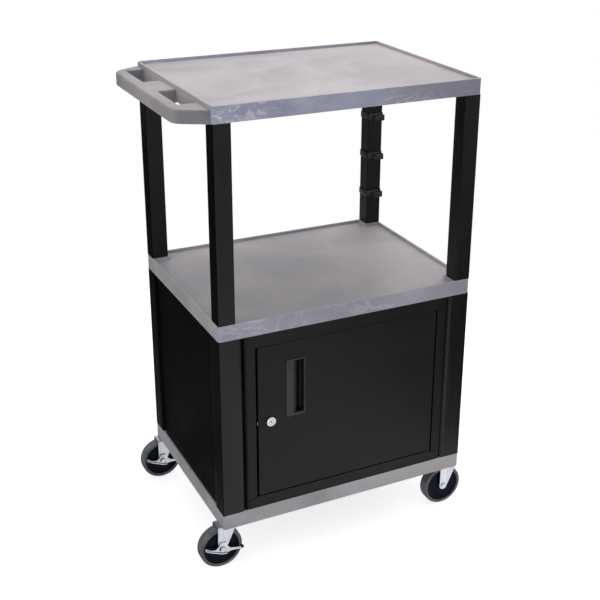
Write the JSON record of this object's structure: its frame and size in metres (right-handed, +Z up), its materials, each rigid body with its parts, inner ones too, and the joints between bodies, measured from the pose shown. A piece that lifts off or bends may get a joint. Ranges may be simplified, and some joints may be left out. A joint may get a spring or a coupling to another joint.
{
  "type": "audio visual cart",
  "caption": "Rolling audio visual cart with moulded tray shelves, push handle, square legs, lockable steel cabinet with swinging door, cord clips and swivel casters.",
  "frame": {"origin": "floor level, under the middle of the cart's bounding box", "axes": "+Z up, -Y towards the cabinet door, -X towards the push handle"},
  "size_m": [0.695, 0.4605, 1.0586],
  "materials": {
    "shelf_plastic": "moulded grey plastic, cloudy, fine grained",
    "leg_plastic": "moulded black plastic, satin",
    "black_sheet": "black powder coat, satin",
    "black_screws": "black coated steel",
    "pull_plastic": "moulded black plastic",
    "lock_chrome": "nickel and chrome plated",
    "clip_plastic": "moulded black plastic",
    "zinc_steel": "bright zinc plated steel",
    "core_plastic": "moulded black plastic",
    "tyre_rubber": "grey rubber tread",
    "brake_rubber": "black rubber"
  },
  "bodies": {
    "frame": {"bottom_shelf": "shelf_plastic", "middle_shelf": "shelf_plastic", "top_shelf": "shelf_plastic", "upper_leg_front_left": "leg_plastic", "lower_post_front_left": "leg_plastic", "upper_leg_front_right": "leg_plastic", "lower_post_front_right": "leg_plastic", "upper_leg_back_left": "leg_plastic", "lower_post_back_left": "leg_plastic", "upper_leg_back_right": "leg_plastic", "lower_post_back_right": "leg_plastic", "cabinet_left_side": "black_sheet", "cabinet_right_side": "black_sheet", "cabinet_roof": "black_sheet", "cabinet_floor": "black_sheet", "cabinet_back_panel": "black_sheet", "hinge_brackets": "black_sheet", "back_panel_screws": "black_screws", "cord_clips": "clip_plastic", "caster_front_left_mount": "zinc_steel", "caster_front_right_mount": "zinc_steel", "caster_back_left_mount": "zinc_steel", "caster_back_right_mount": "zinc_steel"},
    "door": {"door_panel": "black_sheet", "door_stiffener": "black_sheet", "door_hinge_plates": "black_sheet", "door_pull": "pull_plastic", "lock_housing": "lock_chrome", "lock_nut": "lock_chrome", "lock_wear_plate": "lock_chrome"},
    "lock": {"lock_plug": "lock_chrome", "lock_cam": "lock_chrome", "lock_cam_nut": "lock_chrome"},
    "fork_front_left": {"caster_front_left_fork": "zinc_steel", "caster_front_left_axle": "zinc_steel", "caster_front_left_bushing": "zinc_steel"},
    "wheel_front_left": {"caster_front_left_core": "core_plastic", "caster_front_left_tyre": "tyre_rubber"},
    "fork_front_right": {"caster_front_right_fork": "zinc_steel", "caster_front_right_axle": "zinc_steel", "caster_front_right_bushing": "zinc_steel"},
    "wheel_front_right": {"caster_front_right_core": "core_plastic", "caster_front_right_tyre": "tyre_rubber"},
    "fork_back_left": {"caster_back_left_fork": "zinc_steel", "caster_back_left_axle": "zinc_steel", "caster_back_left_bushing": "zinc_steel"},
    "wheel_back_left": {"caster_back_left_core": "core_plastic", "caster_back_left_tyre": "tyre_rubber"},
    "fork_back_right": {"caster_back_right_fork": "zinc_steel", "caster_back_right_axle": "zinc_steel", "caster_back_right_bushing": "zinc_steel"},
    "wheel_back_right": {"caster_back_right_core": "core_plastic", "caster_back_right_tyre": "tyre_rubber"},
    "brake_front_left": {"brake_front_left_lever": "zinc_steel", "brake_front_left_tip": "brake_rubber"},
    "brake_back_left": {"brake_back_left_lever": "zinc_steel", "brake_back_left_tip": "brake_rubber"}
  },
  "joints": [
    {"name": "door_hinge", "type": "hinge", "parent": "frame", "child": "door", "pos_m": [0.241, -0.2227, 0.35198], "axis": [0, 0, 1], "range_deg": [0, 105]},
    {"name": "lock_turn", "type": "hinge", "parent": "door", "child": "lock", "pos_m": [-0.166, -0.2267, 0.3519], "axis": [0, 1, 0], "range_deg": [0, 90]},
    {"name": "swivel_front_left", "type": "hinge", "parent": "frame", "child": "fork_front_left", "pos_m": [-0.2675, -0.2, 0.103], "axis": [0, 0, 1], "continuous": true},
    {"name": "roll_front_left", "type": "hinge", "parent": "fork_front_left", "child": "wheel_front_left", "pos_m": [-0.2825, -0.2, 0.05], "axis": [0, 1, 0], "continuous": true},
    {"name": "swivel_front_right", "type": "hinge", "parent": "frame", "child": "fork_front_right", "pos_m": [0.3125, -0.2, 0.103], "axis": [0, 0, 1], "continuous": true},
    {"name": "roll_front_right", "type": "hinge", "parent": "fork_front_right", "child": "wheel_front_right", "pos_m": [0.2975, -0.2, 0.05], "axis": [0, 1, 0], "continuous": true},
    {"name": "swivel_back_left", "type": "hinge", "parent": "frame", "child": "fork_back_left", "pos_m": [-0.2675, 0.208, 0.103], "axis": [0, 0, 1], "continuous": true},
    {"name": "roll_back_left", "type": "hinge", "parent": "fork_back_left", "child": "wheel_back_left", "pos_m": [-0.2825, 0.208, 0.05], "axis": [0, 1, 0], "continuous": true},
    {"name": "swivel_back_right", "type": "hinge", "parent": "frame", "child": "fork_back_right", "pos_m": [0.3125, 0.208, 0.103], "axis": [0, 0, 1], "continuous": true},
    {"name": "roll_back_right", "type": "hinge", "parent": "fork_back_right", "child": "wheel_back_right", "pos_m": [0.2975, 0.208, 0.05], "axis": [0, 1, 0], "continuous": true},
    {"name": "brake_front_left_press", "type": "hinge", "parent": "fork_front_left", "child": "brake_front_left", "pos_m": [-0.2825, -0.2, 0.05], "axis": [0, -1, 0], "range_deg": [0, 14]},
    {"name": "brake_back_left_press", "type": "hinge", "parent": "fork_back_left", "child": "brake_back_left", "pos_m": [-0.2825, 0.208, 0.05], "axis": [0, -1, 0], "range_deg": [0, 14]}
  ]
}
